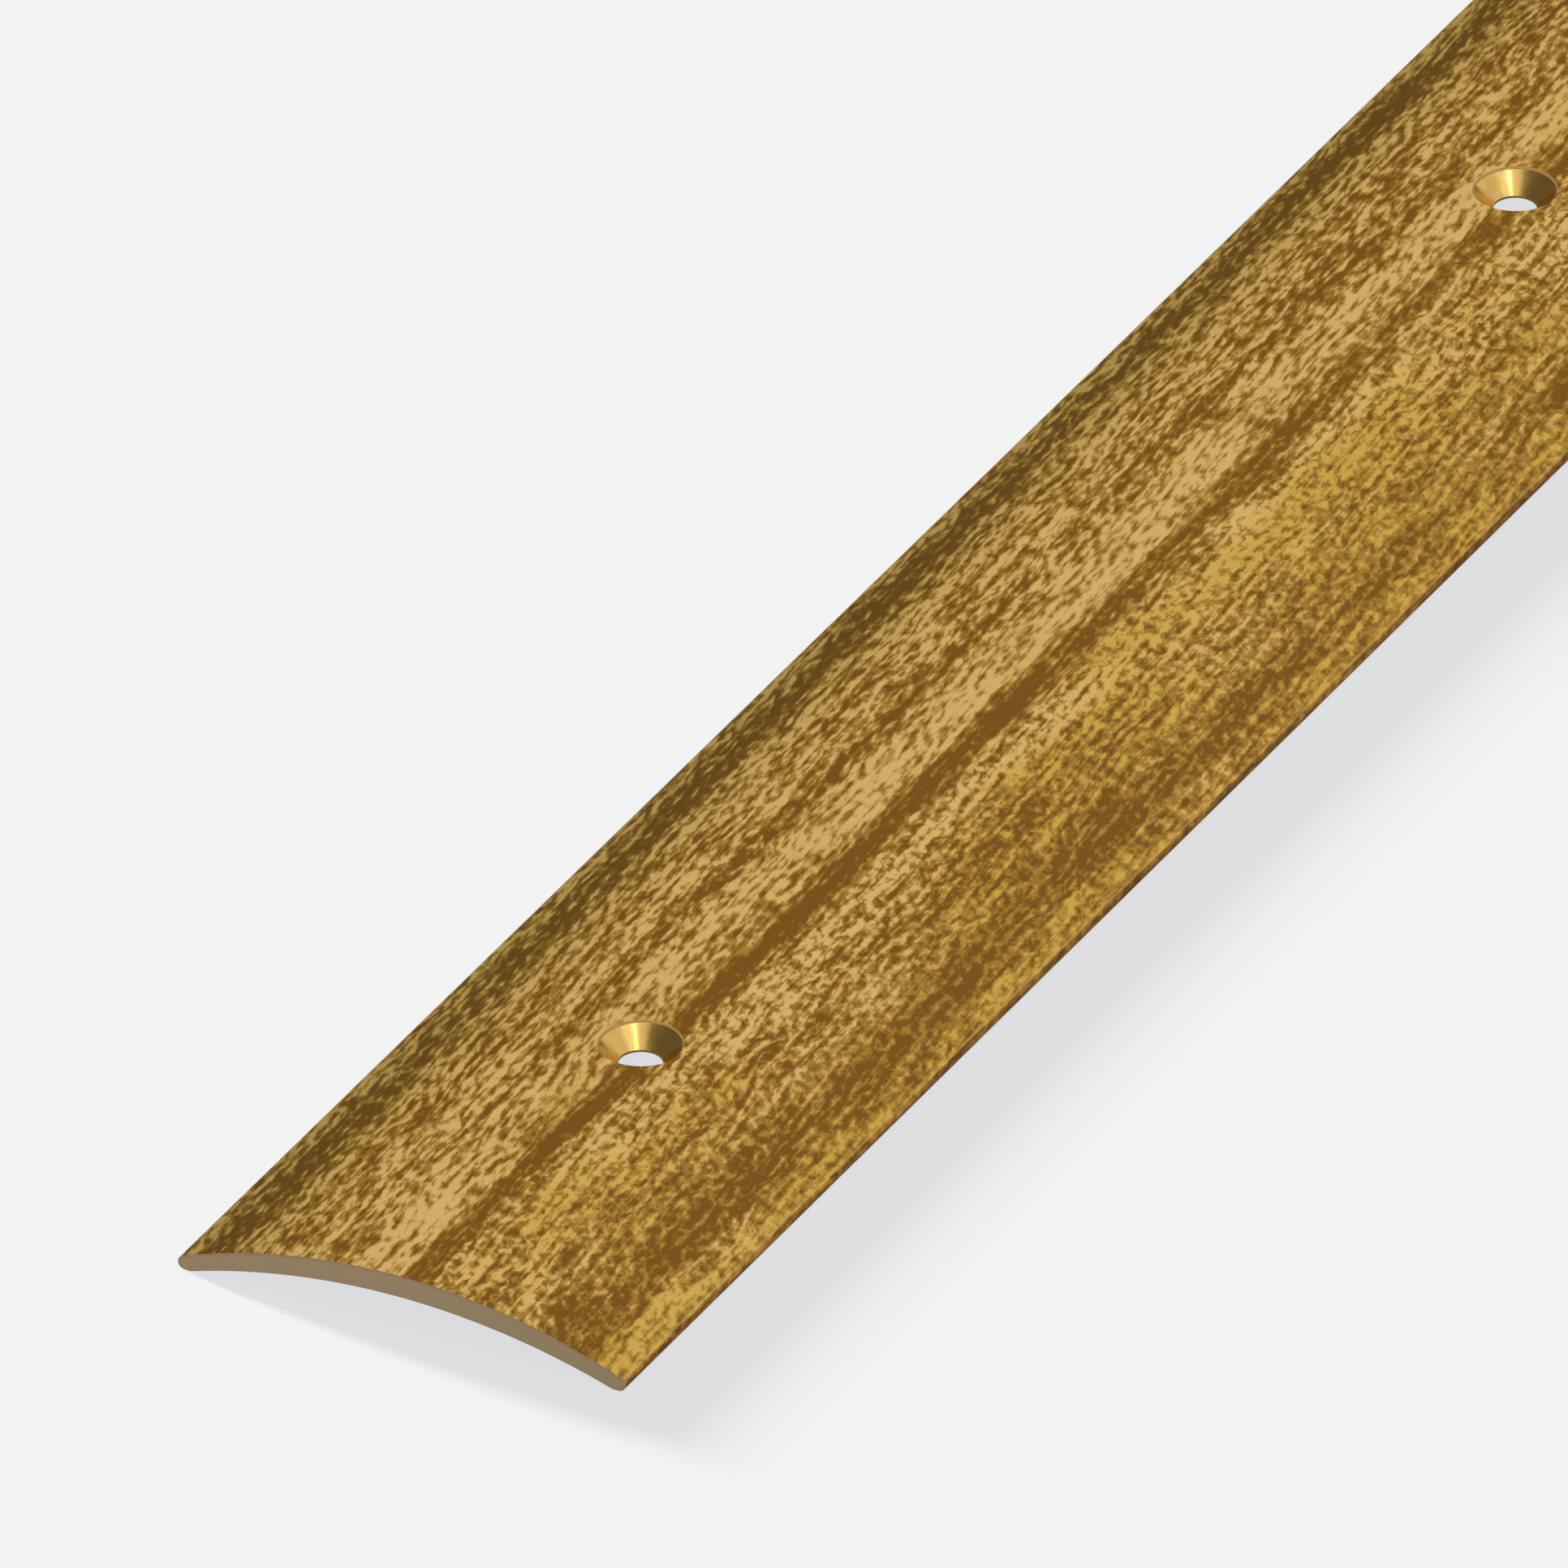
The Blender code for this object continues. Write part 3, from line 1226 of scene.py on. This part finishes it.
@dataclass
class DecorFoil(Layer):
    """The printed foil over the crown and round both noses, with its real thickness.

    Attributes:
        face_cells: The printed face on the sheet, one length to a row.
        rim_cell: The holes' rims, unrolled.
        back_cell: The glued side.
        edge_cells: The two long edges, the left one first.
        end_cells: The two ends, the near one first.
    """

    name: str = "wood_decor_foil"
    node: str = "decor_foil"
    slot: str = "wood_decor_foil"
    finishes: tuple[Finish, ...] = (WoodPrint(), FoilRim(), FoilCore())
    face_cells: tuple[Cell, ...] = tuple(
        Cell(0.004 + 0.184 * row, 0.182 + 0.184 * row) for row in range(Layer.lengths)
    )
    rim_cell: Cell = Cell(0.928, 0.936)
    back_cell: Cell = Cell(0.942, 0.958)
    edge_cells: tuple[Cell, Cell] = (Cell(0.963, 0.969), Cell(0.973, 0.979))
    end_cells: tuple[Cell, Cell] = (Cell(0.983, 0.988), Cell(0.992, 0.997))

    def start(self) -> Vector:
        """Where the outline starts, on the centre line."""
        return UPWARD * self.section.height

    def outline(self, pen: Pen) -> None:
        """Draws the right half of the foil's outline, out over its face and back underneath.

        Args:
            pen: The pen, at the outline's start.
        """
        section = self.section
        pen.arc(section.crown_centre, section.crown_turn, self.crown_steps)
        pen.arc(section.nose, section.nose_turn, self.nose_steps)
        inward = (section.nose - pen.tip.co) * IN_SECTION
        pen.line(inward.normalized() * section.foil)
        pen.arc(section.nose, -section.nose_turn, self.nose_steps)
        pen.arc(section.crown_centre, -section.crown_turn, self.crown_steps)

    def slot_of(self, face: bmesh.types.BMFace) -> Slot:
        """The outside is the printed face; the ends, the back and the long edges are cuts.

        Args:
            face: A face of the undrilled foil.

        Returns:
            Its slot.
        """
        middle = face.calc_center_median()
        outside = self.section.depth_below_face(middle) < self.section.foil / 4
        return Slot.FACE if outside and abs(face.normal.y) < HALF else Slot.CUT

    def lay_maps(self, mesh: bpy.types.Mesh) -> None:
        """Adds the map of the foil laid flat, and the sheet of its lengths side by side.

        Args:
            mesh: The drilled foil.
        """
        flat = mesh.uv_layers.new(name=UNROLLED_MAP)
        sheet = mesh.uv_layers.new(name=SHEET_MAP)
        for face in mesh.polygons:
            for corner in face.loop_indices:
                point = mesh.vertices[mesh.loops[corner].vertex_index].co
                flat.uv[corner].vector = self.unrolled(point)
                sheet.uv[corner].vector = self.on_sheet(face, point)
        flat.active_render = True

    def unrolled(self, point: Vector) -> tuple[float, float]:
        """A point's millimetres across the foil and along it from the near end."""
        return self.section.across(point) / MM, (point.y + self.length / 2) / MM

    def on_sheet(self, face: bpy.types.MeshPolygon, point: Vector) -> tuple[float, float]:
        """Where a face's corner goes on the sheet.

        Args:
            face: The face.
            point: Its corner.

        Returns:
            The place on the sheet.
        """
        over = clamped((self.section.across(point) / self.section.half_face + 1) / 2)
        along = point.y / self.length + 0.5
        deep = clamped(self.section.depth_below_face(point) / self.section.foil)
        if face.material_index == Slot.FACE:
            row = min(int((face.center.y / self.length + 0.5) * self.lengths), self.lengths - 1)
            return self.face_cells[row].at(along * self.lengths - row, over)
        if face.material_index == Slot.BORE:
            return self.on_rim(face.center, point, deep)
        if abs(face.normal.y) > HALF:
            return self.end_cells[face.center.y > 0].at(over, deep)
        if self.section.depth_below_face(face.center) > 0.9 * self.section.foil:
            return self.back_cell.at(along, over)
        return self.edge_cells[face.center.x > 0].at(along, deep)

    def on_rim(self, centre: Vector, point: Vector, deep: float) -> tuple[float, float]:
        """Where a corner of a hole's rim goes on the sheet, each hole unrolled in its turn.

        Args:
            centre: The middle of the corner's face.
            point: The corner.
            deep: Its share of the foil's thickness.

        Returns:
            The place on the sheet.
        """
        places = self.holes.places(self.length)
        nearest = min(range(len(places)), key=lambda index: abs(places[index] - centre.y))
        middle = Vector((0, places[nearest], 0))
        turn = wrapped(math.atan2(*(centre - middle).yx) - self.holes.half_facet)
        swing = wrapped(math.atan2(*(point - middle).yx) - self.holes.half_facet - turn)
        share = clamped((turn + swing) / math.tau + 0.5)
        return self.rim_cell.at((nearest + share) / len(places), deep)


# the studio


@dataclass(frozen=True)
class FarLight:
    """A soft light so far away that it is the same all along the strip.

    Attributes:
        name: What it is for.
        azimuth: The side it comes from, in degrees from straight in front, positive to the right.
        elevation: Its height above the floor, in degrees.
        spread: How wide it looks, in degrees.
        strength: Its power on a surface that faces it.
        colour: Its tint.
    """

    name: str
    azimuth: float
    elevation: float
    spread: float
    strength: float
    colour: Colour = (1.0, 1.0, 1.0)

    def build(self) -> bpy.types.Object:
        """Hangs the light.

        Returns:
            The light's object.
        """
        lamp = bpy.data.lights.new(self.name, "SUN")
        lamp.energy = self.strength
        lamp.angle = math.radians(self.spread)
        lamp.color = self.colour
        made = bpy.data.objects.new(self.name, lamp)
        back = towards(self.azimuth, self.elevation)
        made.rotation_euler = back.to_track_quat("Z", "Y").to_euler()
        bpy.context.scene.collection.objects.link(made)
        return made


def towards(azimuth: float, elevation: float) -> Vector:
    """The direction out to a side and height, both in degrees.

    Args:
        azimuth: From straight in front, positive to the right.
        elevation: Above the floor.

    Returns:
        A unit vector.
    """
    turn, rise = math.radians(azimuth), math.radians(elevation)
    level = math.cos(rise)
    return Vector((math.sin(turn) * level, -math.cos(turn) * level, math.sin(rise)))


@dataclass
class Studio:
    """The pale floor, the soft lights and the plain surround.

    Attributes:
        half_width: Half the floor's side.
        pale: The surround's level as the camera sees it.
        dim: The surround's level in reflections and as light.
        lights: The lights on the strip and the floor.
        low_light: The light that draws the strip's shadow; it reaches only the floor.
    """

    half_width: float = 45.0
    pale: Colour = from_screen(243, 243, 243)
    dim: Colour = (0.138, 0.130, 0.102)
    lights: tuple[FarLight, ...] = (
        FarLight("overhead_light", azimuth=0, elevation=88, spread=42, strength=1.88),
        FarLight("side_light", azimuth=125, elevation=38, spread=80, strength=0.90),
        FarLight("top_light", azimuth=50, elevation=58, spread=56, strength=0.30),
        FarLight("top_light_core", azimuth=54, elevation=58, spread=8, strength=0.13),
        FarLight("front_light", azimuth=8, elevation=16, spread=30, strength=0.8),
    )
    low_light: FarLight = FarLight(
        "low_light", azimuth=-103, elevation=11, spread=6, strength=84,
        colour=(1.04, 1.0, 0.9),
    )

    def floor(self) -> bpy.types.Object:
        """Lays the floor that the strip's feet stand on.

        Returns:
            The floor's object.
        """
        body = bmesh.new()
        bmesh.ops.create_grid(body, x_segments=1, y_segments=1, size=self.half_width)
        made = as_object("studio_floor", body)
        made.data.materials.append(PaleFloor().material())
        return made

    def surround(self) -> None:
        """Makes the world: plain and pale to look at, dimmer in reflections."""
        world = bpy.data.worlds.new("surround")
        bpy.context.scene.world = world
        world.use_nodes = True
        graph = Graph(world.node_tree)
        seen = graph.node("ShaderNodeLightPath", output="Is Camera Ray")
        level = graph.mix(seen, self.dim, self.pale)
        glow = graph.node("ShaderNodeBackground", {}, {"Color": level, "Strength": 1.0})
        graph.node_output("ShaderNodeOutputWorld", glow)

    def build(self) -> None:
        """Sets the whole studio up."""
        floor = self.floor()
        self.surround()
        for light in self.lights:
            light.build()
        reached = bpy.data.collections.new("floor_only")
        reached.objects.link(floor)
        self.low_light.build().light_linking.receiver_collection = reached
        bpy.context.scene.view_settings.view_transform = "Standard"
        LOG.info("studio: floor and %d lights", len(self.lights) + 1)


@dataclass
class Viewpoint:
    """The camera: a long lens over the strip's near end.

    Attributes:
        near_end: The middle of the strip's near end, on the floor.
        beside, beyond: How far to the right of it and along the strip the view's middle lies.
        azimuth, elevation: The side and height it looks from, in degrees.
        field: How wide the view is there.
        lens: Its focal length, in millimetres.
        film: The width of its film, in millimetres.
        reach: How far it sees.
    """

    near_end: Vector
    beside: float = -0.01175
    beyond: float = 0.08305
    azimuth: float = 28.0
    elevation: float = 31.2
    field: float = 0.11875
    lens: float = 1650.0
    film: float = 36.0
    reach: float = 200.0

    def build(self) -> None:
        """Sets the camera up."""
        camera = bpy.data.cameras.new("viewpoint")
        camera.lens = self.lens
        camera.sensor_width = self.film
        camera.clip_end = self.reach
        back = towards(self.azimuth, self.elevation)
        distance = self.field * self.lens / self.film
        made = bpy.data.objects.new("viewpoint", camera)
        aim = self.near_end + ACROSS * self.beside + ALONG * self.beyond
        made.location = aim + back * distance
        made.rotation_euler = back.to_track_quat("Z", "Y").to_euler()
        bpy.context.scene.collection.objects.link(made)
        bpy.context.scene.camera = made
        LOG.info("viewpoint: %.2f m away", distance)


@dataclass
class Strip:
    """The whole strip: the drilled metal and the foil round it.

    Attributes:
        section: The cross-section.
        length: The strip's length.
        holes: The row of screw holes.
    """

    section: Section
    length: float
    holes: ScrewHoles = ScrewHoles()

    def build(self) -> None:
        """Builds both layers and drills them together."""
        cutter = self.holes.cutter(self.length, self.section.height)
        for layer in (MetalProfile, DecorFoil):
            layer(self.section, self.length, self.holes).build(cutter)
        bpy.data.objects.remove(cutter, do_unlink=True)


def main() -> None:
    """Builds the strip and the studio, sized from the imported model's box."""
    logging.basicConfig(level=logging.INFO, format="%(name)s %(message)s")
    low, high = packed_box
    size = Vector(high) - Vector(low)
    Strip(Section(width=size.x, height=size.z), size.y).build()
    Studio().build()
    Viewpoint(near_end=-ALONG * size.y / 2).build()


if __name__ == "__main__":
    main()
